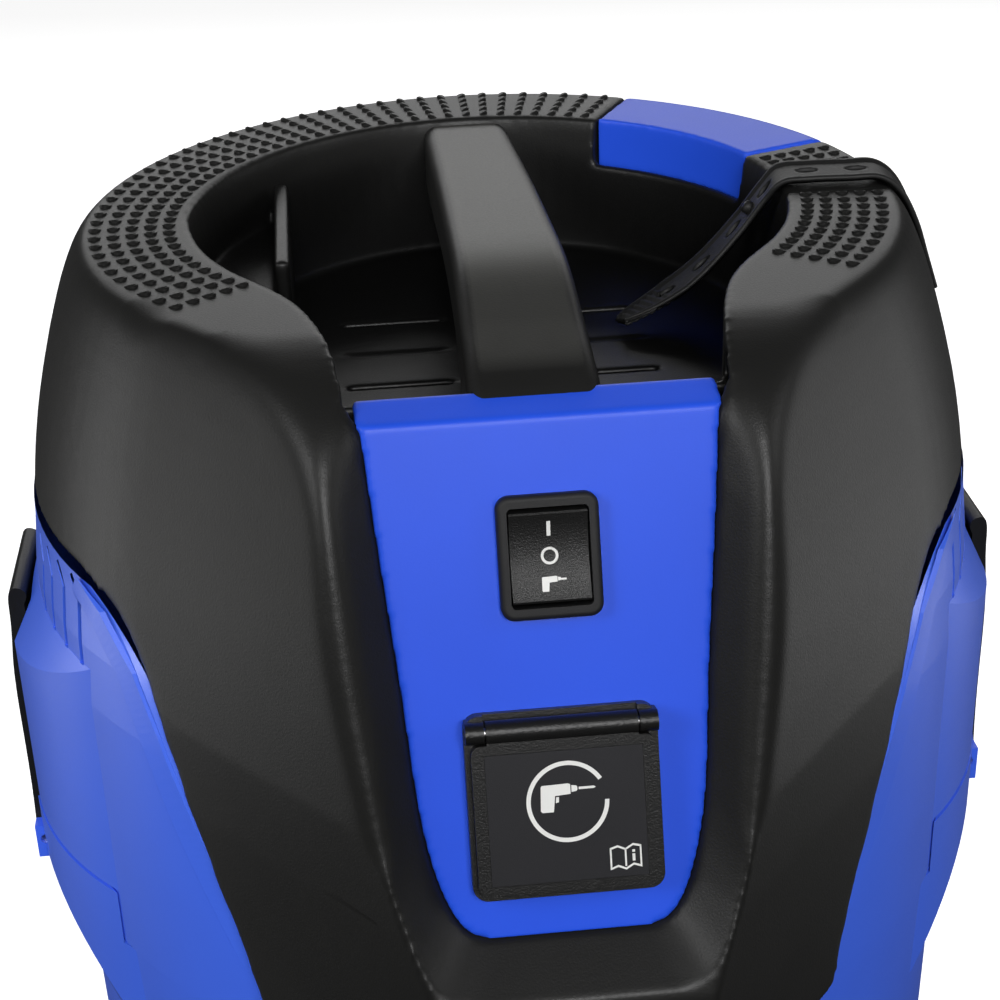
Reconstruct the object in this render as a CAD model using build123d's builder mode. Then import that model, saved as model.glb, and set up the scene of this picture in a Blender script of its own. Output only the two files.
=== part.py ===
"""Round wet and dry shop vacuum: motor head on a wheeled container.

Frame: +Z up, front (switch panel) towards -Y, +X to the right of someone facing the panel.
Origin: floor level, under the centre of the bounding box. All sizes in millimetres.
"""
from build123d import *
import os
from math import cos, sin, tan, radians, sqrt

os.makedirs("parts", exist_ok=True)

# ---------------------------------------------------------------- driving dimensions
ring_top = 574.0        # height of the flat ring round the tool tray
wall = 3.0              # moulded wall of the head
seam = 340.0            # top of the container, where the head sits
cover_base = 349.0      # lower end of the cover's front apron
panel_lean = 20.0       # switch panel leans back from vertical, degrees
panel_y, panel_z = -142.2, ring_top - 14.5     # top front edge of the switch panel
flank_az = -41.0        # azimuth where the flat flanks leave the round barrel
nose_round = 64.0       # radius where the ring top rolls into the nose
tray_r = 103.0          # inner edge of the ring
tray_depth = 50.0
button_az = (22.0, 61.0)
switch_s, socket_s = 40.0, 111.5   # distances down the panel from its top edge
box_half_y = 211.76     # half depth of the bounding box
base_r = 192.0          # castor base
wheel_r, wheel_w = 22.0, 18.0
castor_r = 158.0        # radius of the castor stems
fork_trail = 14.0
press_travel = 8.0
latch_y, latch_w, pivot_x, pivot_z = 0.0, 46.0, 177.2, 346.0
button_x, button_y = 122 * cos(radians(41.5)), 122 * sin(radians(41.5))

CA, SA = cos(radians(panel_lean)), sin(radians(panel_lean))
panel_plane = Plane(origin=(0, panel_y, panel_z), x_dir=(1, 0, 0), z_dir=(0, -CA, SA))
HERE = Location((0, 0, 0))


def top(z):
    """Height z below or above the ring top."""
    return ring_top + z


def save(part, name):
    part.label = name
    export_step(part, f"parts/{name}.step")


def on_panel(s, h=0.0):
    """Panel plane shifted s down the slope and h out of it."""
    return Plane(origin=(0, panel_y - SA * s - CA * h, panel_z - CA * s + SA * h),
                 x_dir=(1, 0, 0), z_dir=(0, -CA, SA))


# ---------------------------------------------------------------- shared shapes of the head
BARREL = [(0, 136.0), (-1.2, 139.0), (-4, 141.6), (-10, 144.9), (-20, 148.9), (-40, 155.2),
          (-60, 160.3), (-80, 163.9), (-100, 166.4), (-120, 168.6), (-150, 169.3), (-234, 169.3)]


def barrel_face(inset=0.0, lift=0.0):
    """Half section of the barrel in the (radius, height) plane of the current sketch."""
    pts = [(r - inset, top(z) - lift) for z, r in BARREL]
    with BuildLine() as line:
        Spline(*pts[:10])
        Polyline(pts[9], pts[10], pts[11])
        Polyline(pts[11], (0, pts[11][1]), (0, pts[0][1]), pts[0])
    return make_face(line.edges())


def head_solid(inset=0.0):
    """Round barrel plus the wedge nose made by its two tangent flanks."""
    a = radians(flank_az)
    meridian = Plane(origin=(0, 0, 0), x_dir=(cos(a), sin(a), 0), z_dir=(sin(a), -cos(a), 0))
    with BuildPart() as body:
        with BuildSketch(Plane.XZ) as half:
            barrel_face(inset, inset)
        revolve(axis=Axis.Z)
        with BuildPart(mode=Mode.PRIVATE) as wedge:
            with BuildSketch(meridian) as flank:
                barrel_face(inset, inset)
            extrude(amount=175)
            with Locations((0, -300, 300)):
                Box(400, 900, 900, align=(Align.MIN, Align.CENTER, Align.CENTER), mode=Mode.INTERSECT)
        add(wedge.part)
        mirror(wedge.part, about=Plane.YZ)
    return body.part


def side_region(inset=0.0, base=cover_base, back=0.0):
    """Side profile of the cover, extruded across the whole width."""
    y_flat = panel_y - 11.5 * CA + (ring_top - (panel_z + 11.5 * SA)) * tan(radians(panel_lean))
    t = nose_round * tan(radians((90 - panel_lean) / 2))
    y0 = y_flat + t
    y1, z1 = y_flat - t * SA, ring_top - t * CA
    z2 = 402.0
    y2 = y_flat - (ring_top - z2) * tan(radians(panel_lean))
    k = inset
    edge = [(-82, -85), (-98, -92), (-111, -108), (-119, -128), (-129, -160), (-136, -180),
            (-143, -201), (-151, -225)]
    with BuildPart() as region:
        with BuildSketch(Plane.YZ) as prof:
            with BuildLine():
                Line((220, ring_top - k), (y0, ring_top - k))
                RadiusArc((y0, ring_top - k), (y1 + k * CA, z1 - k * SA), -(nose_round - k))
                Line((y1 + k * CA, z1 - k * SA), (y2 + k, z2))
                Line((y2 + k, z2), (y2 + k, base))
                Line((y2 + k, base), (-151 + back, base))
                if abs(base - (top(-225) - back)) > 1e-6:
                    Line((-151 + back, base), (-151 + back, top(-225) - back))
                Spline(*[(y + back, top(z) - back) for y, z in reversed(edge)])
                Line((-82 + back, top(-85) - back), (220, top(-85) - back))
                Line((220, top(-85) - back), (220, ring_top - k))
            make_face()
        extrude(amount=230, both=True)
    return region.part


def recess_outline(grow, w_scale):
    """Panel outline: grow widens it evenly, w_scale moves it towards the arm ridge."""
    low = [(53.6, -30), (52.3, -10), (51.0, 10), (48.5, 40), (44.5, 85), (39.6, 128), (35.5, 141)]
    rim = [(84.0, -30), (73.8, -10), (66.4, 10), (60.8, 40), (56.8, 85), (52.0, 128), (47.5, 149)]
    pts = []
    for (a, s), (b, t) in zip(low, rim):
        pts.append((a + (b - a) * w_scale + grow, -(s + (t - s) * w_scale)))
    bottom = 152.0 + 16.0 * w_scale + grow
    left = [(-x, y) for x, y in pts]
    with BuildLine() as line:
        Line(left[0], pts[0])
        Spline(*pts, tangents=[(-0.1, -1), (-0.45, -1)])
        corner_x = pts[-1][0] - 13 - 6 * w_scale
        Spline(pts[-1], (corner_x, -bottom), tangents=[(-0.45, -1), (-1, 0)])
        Line((corner_x, -bottom), (-corner_x, -bottom))
        Spline((-corner_x, -bottom), left[-1], tangents=[(-1, 0), (-0.45, 1)])
        Spline(*reversed(left), tangents=[(-0.45, 1), (-0.1, 1)])
    return make_face(line.edges())


def recess_tool(grow=0.0, floor=-3.2):
    """Tapered pocket in front of the switch panel."""
    with BuildPart() as tool:
        with BuildSketch(panel_plane.offset(0)):
            recess_outline(grow, 0.0)
        with BuildSketch(panel_plane.offset(23)):
            recess_outline(grow, 2.0)
        loft(ruled=True)
        with BuildSketch(panel_plane.offset(floor)):
            recess_outline(grow, 0.0)
        extrude(amount=-floor)
    return tool.part


INNER_EDGE = [(103, 6), (101, -11), (96, -30), (86, -50), (76, -64), (67.5, -79), (61.5, -97), (58, -114)]


def tray_outline(front_y, front_x, grow=0.0):
    """Ring opening: round at the back, an S down each side to the panel."""
    r = [(x + grow, y) for x, y in INNER_EDGE] + [(front_x + grow, front_y - grow)]
    l = [(-x, y) for x, y in r]
    with BuildLine() as line:
        ThreePointArc(r[0], (0, sqrt((103 + grow) ** 2 + 36) * 1.0), l[0])
        Spline(*l)
        Line(l[-1], r[-1])
        Spline(*reversed(r))
    return make_face(line.edges())


def tray_cavity(grow=0.0):
    """The hollow of the tool tray; grow makes the solid whose shell is the tray wall."""
    with BuildPart() as hollow:
        with BuildSketch(Plane.XY.offset(top(-tray_depth) - grow)):
            tray_outline(-124.0, 56.0, grow)
        extrude(until=None, amount=tray_depth + grow + 30)
        with BuildSketch(Plane.XY.offset(top(-tray_depth) - grow - 1)):
            with Locations((0, 60)):
                Rectangle(400, 140)
            Circle(96.5 + grow, mode=Mode.SUBTRACT)
        extrude(amount=tray_depth + grow + 1, taper=7.3, mode=Mode.SUBTRACT)
    return hollow.part


def button_pocket(grow=0.0, floor=-30.0, r_in=99.0):
    a0, a1 = button_az[0] - 0.5, button_az[1] + 0.5
    with BuildPart() as pocket:
        with BuildSketch(Plane.XY.offset(top(floor) - grow)):
            with BuildLine():
                r0, r1 = r_in, 190.0
                d = grow / 120 * 57.3
                CenterArc((0, 0), r0, a0 - d, a1 - a0 + 2 * d)
                CenterArc((0, 0), r1, a0 - d, a1 - a0 + 2 * d)
                for a in (radians(a0 - d), radians(a1 + d)):
                    Line((r0 * cos(a), r0 * sin(a)), (r1 * cos(a), r1 * sin(a)))
            make_face()
        extrude(amount=60)
    return pocket.part


outer = head_solid(0.0)
inner = head_solid(wall)
region = side_region(0.0)
recess = recess_tool(0.0)
recess_wall = recess_tool(wall, -3.2 - wall)

with BuildPart() as tray_block:
    add(tray_cavity(2.6))
    add(side_region(wall, 400.0, 60.0), mode=Mode.INTERSECT)

# ---------------------------------------------------------------- black top cover
with BuildPart() as void:
    add(inner)
    add(side_region(wall, 300.0, 30.0), mode=Mode.INTERSECT)
    with Locations((0, 0, cover_base + wall)):
        Box(500, 500, 200, align=(Align.CENTER, Align.CENTER, Align.MAX), mode=Mode.SUBTRACT)
    add(recess_wall, mode=Mode.SUBTRACT)
    add(button_pocket(wall), mode=Mode.SUBTRACT)

with BuildPart() as top_cover:
    add(outer)
    add(region, mode=Mode.INTERSECT)
    add(recess, mode=Mode.SUBTRACT)
    add(void.part, mode=Mode.SUBTRACT)
    add(button_pocket(), mode=Mode.SUBTRACT)
    add(tray_block.part, mode=Mode.SUBTRACT)
    with BuildSketch(Plane.XY.offset(top(-11.8))):
        tray_outline(-150.0, 53.2)
    extrude(amount=40, mode=Mode.SUBTRACT)
    with Locations((0, -118, top(-15.8))):              # room for the ledge of the panel
        Box(106.6, 24.4, 30, align=(Align.CENTER, Align.MAX, Align.MIN), mode=Mode.SUBTRACT)
    with Locations((button_x, button_y, top(-40))):     # guide of the push-button rod
        Cylinder(2.46, 20, mode=Mode.SUBTRACT)
    with BuildSketch(panel_plane.offset(-20)):          # window for switch and socket
        with Locations((0, -81)):
            Rectangle(62, 132)
    extrude(amount=20, mode=Mode.SUBTRACT)
    with BuildSketch(Plane.XY.offset(top(-1.6))):       # seat of the hose strap on the ring
        with Locations((123, 6)):
            Rectangle(60, 23)
    extrude(amount=10, mode=Mode.SUBTRACT)
save(top_cover.part, "top_cover")

# ---------------------------------------------------------------- tool tray, handle, panel
with BuildPart() as tool_tray:
    add(tray_block.part)
    add(tray_cavity(0.0), mode=Mode.SUBTRACT)
    add(button_pocket(floor=-17.0), mode=Mode.SUBTRACT)
    add(button_pocket(r_in=104.6), mode=Mode.SUBTRACT)
    with Locations((0, -124 - 2.6, top(-15.2))):             # front wall ends under the panel ledge
        Box(120, 8, 60, align=(Align.CENTER, Align.CENTER, Align.MIN), mode=Mode.SUBTRACT)
    with BuildSketch(Plane.XY.offset(top(-tray_depth))) as grooves:
        for x0 in (-35, 35):
            with Locations(*[(x0, y) for y in (-62, -34, -6, 22)]):
                SlotOverall(38, 3.4)
    extrude(amount=-1.5, mode=Mode.SUBTRACT)
    with Locations((-72, 22, top(-tray_depth))):               # upright divider on the left
        Box(5.0, 84, 41, align=(Align.CENTER, Align.CENTER, Align.MIN))
    with BuildPart(mode=Mode.PRIVATE) as shelf:                # small shelf behind the divider
        with Locations((-88, 22, top(-27))):
            Box(32, 84, 2.6, align=(Align.CENTER, Align.CENTER, Align.MIN))
        add(tray_cavity(1.0), mode=Mode.INTERSECT)
    add(shelf.part)
save(tool_tray.part, "tool_tray")

with BuildPart() as front_panel:
    with BuildSketch(panel_plane.offset(-3.0)) as plate:
        recess_outline(-0.25, 0.0)
        with Locations((0, 40)):
            Rectangle(200, 80, mode=Mode.SUBTRACT)
    extrude(amount=3.0)
    with BuildSketch(Plane.YZ):                                # ledge folded back over the top edge
        Polygon((panel_y + 3 * CA, panel_z - 3 * SA), (-127.8, top(-15.0)), (-127.8, top(-12.0)),
                (panel_y, panel_z), align=None)
    extrude(amount=52.9, both=True)
    with BuildSketch(on_panel(switch_s)):
        RectangleRounded(26.6, 33.6, 3)
    extrude(amount=-20, mode=Mode.SUBTRACT)
    with BuildSketch(on_panel(socket_s)):
        RectangleRounded(50.6, 48.6, 4)
    extrude(amount=-20, mode=Mode.SUBTRACT)
save(front_panel.part, "front_panel")

with BuildPart() as carry_handle:
    with BuildSketch(Plane.YZ) as side:
        with BuildLine():
            Spline((-134.5, top(-14.5)), (-128, top(-10.5)), (-104, top(-3.0)), (-72, top(5.2)), (-40, top(6.0)),
                   (20, top(3.6)), (104, top(-2.4)))
            Line((104, top(-2.4)), (104, top(-24)))
            Spline((104, top(-24)), (20, top(-17)), (-50, top(-14)), (-84, top(-20)), (-106, top(-32)),
                   (-112, top(-50)))
            Polyline((-112, top(-50)), (-124.0, top(-50)), (-124.0, top(-14.5)), (-134.5, top(-14.5)))
        make_face()
    extrude(amount=22.0, both=True)
    with BuildSketch(Plane.XY.offset(top(-60))) as plan:
        Polygon((-20.0, -140), (20.0, -140), (18.4, -70), (16.0, 110), (-16.0, 110), (-18.4, -70), align=None)
    extrude(amount=90, mode=Mode.INTERSECT)
    fillet(carry_handle.edges().filter_by(lambda e: e.center().Z > top(-13) and e.length > 90), 5.0)
    for neighbour in (tool_tray, front_panel, top_cover):
        add(neighbour.part, mode=Mode.SUBTRACT)
    with Locations((0, 0, top(-70))):
        Cylinder(150, 160, mode=Mode.INTERSECT)
carry_handle_body = max(carry_handle.part.solids(), key=lambda b: b.volume)
save(carry_handle_body, "carry_handle")

# ---------------------------------------------------------------- three-position switch
with BuildPart() as switch_bezel:
    with BuildSketch(on_panel(switch_s)):
        RectangleRounded(29.5, 36.0, 4)
        RectangleRounded(23.6, 29.0, 1.5, mode=Mode.SUBTRACT)
    extrude(amount=4.0)
    fillet(switch_bezel.faces().sort_by(Axis((0, 0, 0), (0, -CA, SA)))[-1].outer_wire().edges(), 1.6)
save(switch_bezel.part, "switch_bezel")

with BuildPart() as switch_body:
    with BuildSketch(on_panel(switch_s, -17)):
        RectangleRounded(26.2, 33.2, 2.5)
    extrude(amount=17)
    with BuildSketch(on_panel(switch_s, -11)):
        RectangleRounded(23.6, 29.0, 1.5)
    extrude(amount=11, mode=Mode.SUBTRACT)
    with BuildSketch(on_panel(switch_s, -22)):
        with GridLocations(12, 9, 2, 3):
            Rectangle(0.8, 4.8)
    extrude(amount=5.0)
save(switch_body.part, "switch_body")

rocker_side = Plane(origin=on_panel(switch_s).origin, x_dir=(0, SA, CA), z_dir=(1, 0, 0))
with BuildPart() as switch_rocker:
    with BuildSketch(rocker_side):
        with BuildLine():
            Polyline((13.7, -1), (13.0, 3.9), (12.4, 4.2))
            ThreePointArc((12.4, 4.2), (0, 1.9), (-12.4, 4.2))
            Polyline((-12.4, 4.2), (-13.0, 3.9), (-13.7, -1), (-11.6, -8.2), (11.6, -8.2), (13.7, -1))
        make_face()
    extrude(amount=11.3, both=True)
save(switch_rocker.part, "switch_rocker")

# ---------------------------------------------------------------- appliance socket with spring flap
hinge_s, hinge_h = 88.6, 7.0
with BuildPart() as socket_body:
    with BuildSketch(on_panel(socket_s)):
        RectangleRounded(56.0, 54.6, 4.5)
    extrude(amount=5.0)
    with BuildSketch(on_panel(socket_s, -40)):
        RectangleRounded(50.0, 48.0, 3.5)
    extrude(amount=40)
    with BuildSketch(on_panel(socket_s + 1.5, -13)):
        Circle(19.2)
    extrude(amount=20, mode=Mode.SUBTRACT)
    with BuildSketch(on_panel(socket_s + 1.5, -30)):
        with GridLocations(19, 1, 2, 1):
            Circle(2.5)
    extrude(amount=20, mode=Mode.SUBTRACT)
    with BuildSketch(on_panel(hinge_s - 1.0, 2.6)):
        Rectangle(44.6, 12.5)
    extrude(amount=20, mode=Mode.SUBTRACT)
    pin_line = Plane(origin=on_panel(hinge_s, hinge_h).origin, x_dir=(0, 1, 0), z_dir=(1, 0, 0))
    for x in (-27.7, 22.3):                                    # hinge ears
        with BuildSketch(on_panel(hinge_s, 2.0)):
            with Locations((x + 2.7, 0)):
                Rectangle(5.4, 6.2)
        extrude(amount=hinge_h - 2.0)
        with BuildSketch(pin_line.offset(x)):
            Circle(3.1)
        extrude(amount=5.4)
    with BuildSketch(pin_line):
        Circle(1.5)
    extrude(amount=40, both=True, mode=Mode.SUBTRACT)
save(socket_body.part, "socket_body")

with BuildPart() as flap_pin:
    with BuildSketch(pin_line):
        Circle(1.5)
    extrude(amount=27.6, both=True)
save(flap_pin.part, "flap_pin")

with BuildPart() as socket_flap:
    with BuildSketch(on_panel(socket_s + 1.0, 5.4)):
        with Locations((0, -1.6)):
            RectangleRounded(53.0, 44.2, 3.0)
    extrude(amount=3.6)
    with BuildSketch(on_panel(hinge_s + 2.0, 5.4)):
        Rectangle(43.6, 4.2)
    extrude(amount=3.6)
    with BuildSketch(pin_line):
        Circle(3.4)
    extrude(amount=21.8, both=True)
    with BuildSketch(on_panel(socket_s + 2.6, 8.5)):           # seat of the label plate
        Rectangle(45.6, 38.6)
    extrude(amount=5, mode=Mode.SUBTRACT)
    with BuildSketch(pin_line):
        Circle(1.56)
    extrude(amount=40, both=True, mode=Mode.SUBTRACT)
save(socket_flap.part, "socket_flap")

with BuildPart() as flap_label:
    with BuildSketch(on_panel(socket_s + 2.6, 8.5)):
        Rectangle(45.4, 38.4)
    extrude(amount=0.6)
save(flap_label.part, "flap_label")

# ---------------------------------------------------------------- filter-clean push button
def ring_segment(r0, r1, a0, a1):
    with BuildLine() as line:
        CenterArc((0, 0), r0, a0, a1 - a0)
        CenterArc((0, 0), r1, a0, a1 - a0)
        for a in (radians(a0), radians(a1)):
            Line((r0 * cos(a), r0 * sin(a)), (r1 * cos(a), r1 * sin(a)))
    return make_face(line.edges())


with BuildPart() as clean_button:
    with BuildSketch(Plane.XY.offset(top(-19))):
        ring_segment(105.0, 160.0, *button_az)
    extrude(amount=19)
    add(outer, mode=Mode.INTERSECT)
    with Locations((button_x, button_y, top(-19))):
        Cylinder(5.0, 6, align=(Align.CENTER, Align.CENTER, Align.MIN), mode=Mode.SUBTRACT)
save(clean_button.part, "clean_button")

with BuildPart() as clean_rod:
    with Locations((button_x, button_y, top(-52))):
        Cylinder(2.4, 39, align=(Align.CENTER, Align.CENTER, Align.MIN))
    with Locations((button_x, button_y, top(-54))):
        Cylinder(7.5, 2.4, align=(Align.CENTER, Align.CENTER, Align.MIN))
save(clean_rod.part, "clean_rod")

with BuildPart() as button_spring:
    with BuildLine() as coil:
        Helix(pitch=3.4, height=14.4, radius=4.0, center=(button_x, button_y, top(-29.3)))
    with BuildSketch(Plane(origin=coil.line @ 0, z_dir=coil.line % 0)):
        Circle(0.55)
    sweep(is_frenet=True)
save(button_spring.part, "button_spring")

# ---------------------------------------------------------------- rubber hose strap
with BuildPart() as hose_strap:
    with BuildSketch(Plane.XZ) as band:
        with BuildLine() as route:
            FilletPolyline((157.4, top(-40)), (151.9, top(-22)), (147.2, top(-9)), (141.0, top(0.45)),
                           (100.0, top(0.45)), (91.5, top(-10)), (77, top(-27.5)), (61, top(-40.6)), (43, top(-46)),
                           radius=4)
        trace(line_width=3.4)
    extrude(amount=-16.5)
    with Locations((0, -4.5, 0)):
        Box(900, 900, 1800, align=(Align.CENTER, Align.MIN, Align.CENTER), mode=Mode.INTERSECT)
save(hose_strap.part, "hose_strap")

# ---------------------------------------------------------------- blue motor housing
def side_bulge(r_max, z0, z1, shoulder, sides=(-1, 1)):
    """Swelling on each side of the head or container, faired into the round wall."""
    with BuildPart() as bulge:
        with BuildSketch(Plane.XZ):
            Polygon((120, z0), (r_max, z0), (r_max, z1), (168.0, z1 + shoulder), (120, z1 + shoulder), align=None)
        revolve(axis=Axis.Z)
        with BuildPart(mode=Mode.PRIVATE) as plan:
            with Locations((r_max - 122, 0, 350)):
                Cylinder(122, 400)
            with Locations((0, 0, 350)):
                Box(400, 400, 500, align=(Align.MIN, Align.CENTER, Align.CENTER), mode=Mode.INTERSECT)
            mirror(about=Plane.YZ)
        add(plan.part, mode=Mode.INTERSECT)
    return bulge.part


port_z = 388.0
with BuildPart() as head_housing:
    with BuildSketch(Plane.XZ):
        with BuildLine():
            Polyline((168.4, seam + 1), (168.4, 440), (167.6, 462), (165.6, 480), (164.6, 500), (161.6, 500))
            Polyline((161.6, 500), (162.6, 480), (164.6, 462), (165.4, 440), (165.4, seam + 1), (168.4, seam + 1))
        make_face()
    revolve(axis=Axis.Z)
    add(side_bulge(180.4, seam + 23, 428, 26))
    for sx in (-1, 1):                                          # recess for the latch lever
        with Locations((sx * 170.0, latch_y, 360)):
            Box(40, latch_w + 2, 110, align=(Align.MIN if sx > 0 else Align.MAX, Align.CENTER, Align.MIN),
                mode=Mode.SUBTRACT)
    with Locations((0, 0, 300)):
        Cylinder(165.3, 240, mode=Mode.SUBTRACT, align=(Align.CENTER, Align.CENTER, Align.MIN))
    with BuildPart(mode=Mode.PRIVATE) as keep:
        add(side_region(-0.6, 300.0, 0.6))
        with BuildSketch(Plane.YZ):
            Polygon((-240, 300), (-150.5, 300), (-150.4, 420), (-240, 420), align=None)
        extrude(amount=240, both=True)
    add(keep.part, mode=Mode.SUBTRACT)
    for sx in (-1, 1):                                          # chevron air slots under the cover edge
        for n, a in enumerate((150.5, 155.0, 159.5, 164.0)):
            az = radians(a) if sx < 0 else radians(180 - a)
            here = Plane(origin=(160 * cos(az), -160 * sin(az), 489 - 11.5 - 1.0 * n - 2),
                         x_dir=(sin(az), cos(az), 0), z_dir=(cos(az), -sin(az), 0))
            with BuildSketch(here):
                with Locations((0, -10)):
                    Rectangle(2.6, 24 - 2 * n)
                with Locations((sx * 2.6, 4.6)):
                    Rectangle(2.8, 10, rotation=-sx * 38)
            extrude(amount=30, mode=Mode.SUBTRACT)
    with Locations((0, 170, port_z)):
        Cylinder(34.2, 80, rotation=(90, 0, 0), mode=Mode.SUBTRACT)
    with Locations((66, 150, 402)):
        Cylinder(9.1, 60, rotation=(90, 0, 0), mode=Mode.SUBTRACT)
housing_body = max(head_housing.part.solids(), key=lambda b: b.volume)
print("housing solids", len(head_housing.part.solids()), [round(b.volume) for b in head_housing.part.solids()])
save(housing_body, "head_housing")

with BuildPart() as blow_port:
    with BuildSketch(Plane.XZ):
        with Locations((0, port_z)):
            Circle(34.0)
            Circle(29.0, mode=Mode.SUBTRACT)
    extrude(amount=-box_half_y)
    with Locations((0, 180, port_z)):                             # wider throat behind the hose seat
        Cylinder(31.5, 60, rotation=(90, 0, 0), align=(Align.CENTER, Align.CENTER, Align.MIN),
                 mode=Mode.SUBTRACT)
    with Locations((0, 0, port_z)):
        Cylinder(158, 100, mode=Mode.SUBTRACT)
save(blow_port.part, "blow_port")

with BuildPart() as cable_gland:
    with BuildSketch(Plane(origin=(66, 146, 402), x_dir=(1, 0, 0), z_dir=(0, 1, 0))):
        Circle(9.0)
        Circle(3.6, mode=Mode.SUBTRACT)
    extrude(amount=26)
    with BuildSketch(Plane(origin=(66, 158, 402), x_dir=(1, 0, 0), z_dir=(0, 1, 0))):
        Circle(12.0)
        Circle(3.6, mode=Mode.SUBTRACT)
    extrude(amount=5)
    with BuildPart(mode=Mode.PRIVATE) as wall_ring:
        with Locations((0, 0, 400)):
            Cylinder(168.5, 100)
        with Locations((66, 150, 402)):
            Cylinder(9.05, 80, rotation=(90, 0, 0), mode=Mode.SUBTRACT)
    add(wall_ring.part, mode=Mode.SUBTRACT)
gland_body = max(cable_gland.part.solids(), key=lambda b: b.volume)
save(gland_body, "cable_gland")

# ---------------------------------------------------------------- deck, motor and fan inside the head
deck_z = seam + 2.0
with BuildPart() as motor_deck:
    with Locations((0, 0, deck_z)):
        Cylinder(165.0, 4.0, align=(Align.CENTER, Align.CENTER, Align.MIN))
    with Locations((0, 0, seam - 14)):
        Cylinder(157.0, 16.0, align=(Align.CENTER, Align.CENTER, Align.MIN))
        Cylinder(153.5, 16.0, align=(Align.CENTER, Align.CENTER, Align.MIN), mode=Mode.SUBTRACT)
    with Locations((0, 0, deck_z)):
        Cylinder(34.0, 40, mode=Mode.SUBTRACT)
    for x in (-58, 58):                                        # bosses that carry the housing screws
        with Locations((x, 105, deck_z + 4)):
            Cylinder(6, 20, align=(Align.CENTER, Align.CENTER, Align.MIN))
            Cylinder(2, 20, align=(Align.CENTER, Align.CENTER, Align.MIN), mode=Mode.SUBTRACT)
save(motor_deck.part, "motor_deck")

with BuildPart() as head_gasket:
    with Locations((0, 0, seam)):
        Cylinder(163.4, 2.0, align=(Align.CENTER, Align.CENTER, Align.MIN))
        Cylinder(157.4, 2.0, align=(Align.CENTER, Align.CENTER, Align.MIN), mode=Mode.SUBTRACT)
save(head_gasket.part, "head_gasket")

floor_z = deck_z + 4.0                                           # 346
with BuildPart() as motor_seal:
    with Locations((0, 0, floor_z)):
        Cylinder(74.0, 3.0, align=(Align.CENTER, Align.CENTER, Align.MIN))
        Cylinder(62.0, 3.0, align=(Align.CENTER, Align.CENTER, Align.MIN), mode=Mode.SUBTRACT)
save(motor_seal.part, "motor_seal")


def turned(*profile):
    """Closed (radius, height) outline turned about the vertical axis."""
    with BuildPart() as body:
        with BuildSketch(Plane.XZ):
            Polygon(*profile, align=None)
        revolve(axis=Axis.Z)
    return body.part


fan_z = floor_z + 3.0                                            # 349
fan_cover = turned((40, fan_z), (74, fan_z), (74, fan_z + 36), (14, fan_z + 36), (14, fan_z + 33.5),
                   (71.5, fan_z + 33.5), (71.5, fan_z + 2.5), (40, fan_z + 2.5))
save(fan_cover, "fan_cover")

with BuildPart() as fan_wheel:
    with Locations((0, 0, fan_z + 6)):
        Cylinder(66, 1.6, align=(Align.CENTER, Align.CENTER, Align.MIN))
        Cylinder(34, 1.6, align=(Align.CENTER, Align.CENTER, Align.MIN), mode=Mode.SUBTRACT)
    with Locations((0, 0, fan_z + 24)):
        Cylinder(66, 1.6, align=(Align.CENTER, Align.CENTER, Align.MIN))
    with Locations((0, 0, fan_z + 8)):
        Cylinder(11, 22, align=(Align.CENTER, Align.CENTER, Align.MIN))
    with BuildSketch(Plane.XY.offset(fan_z + 7.4)):
        with PolarLocations(0, 9):
            with Locations((46, 6)):
                Rectangle(36, 1.6, rotation=-32)
    extrude(amount=16.8)
    with Locations((0, 0, fan_z)):
        Cylinder(4.0, 80, mode=Mode.SUBTRACT)
save(fan_wheel.part, "fan_wheel")

can_z = fan_z + 36.0                                             # 385
motor_can = turned((12.98, can_z), (48, can_z), (48, can_z + 92), (12.98, can_z + 92), (12.98, can_z + 89),
                   (45.5, can_z + 89), (45.5, can_z + 3), (12.98, can_z + 3))
save(motor_can, "motor_can")
stator = turned((27, can_z + 16), (45.5, can_z + 16), (45.5, can_z + 66), (27, can_z + 66))
save(stator, "stator")
for tag, z in (("lower", can_z), ("upper", can_z + 85)):
    save(turned((4.05, z), (12.98, z), (12.98, z + 7), (4.05, z + 7)), f"bearing_{tag}")
with BuildPart() as motor_shaft:
    with Locations((0, 0, fan_z + 5)):
        Cylinder(4.0, 128, align=(Align.CENTER, Align.CENTER, Align.MIN))
save(motor_shaft.part, "motor_shaft")
armature = turned((4.0, can_z + 12), (11, can_z + 12), (11, can_z + 18), (25.6, can_z + 18), (25.6, can_z + 64),
                  (12, can_z + 68), (12, can_z + 80), (4.0, can_z + 80))
save(armature, "armature")

with BuildPart() as exhaust_foam:
    with Locations((0, 0, floor_z)):
        Cylinder(100, 60, align=(Align.CENTER, Align.CENTER, Align.MIN))
        Cylinder(80, 60, align=(Align.CENTER, Align.CENTER, Align.MIN), mode=Mode.SUBTRACT)
save(exhaust_foam.part, "exhaust_foam")

with BuildPart() as control_board:
    with Locations((-60, 125, floor_z)):
        Box(60, 1.8, 60, align=(Align.CENTER, Align.CENTER, Align.MIN))
    with Locations((-66, 118, floor_z + 18)):
        Box(24, 12.2, 16, align=(Align.CENTER, Align.CENTER, Align.MIN))
save(control_board.part, "control_board")

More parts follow.
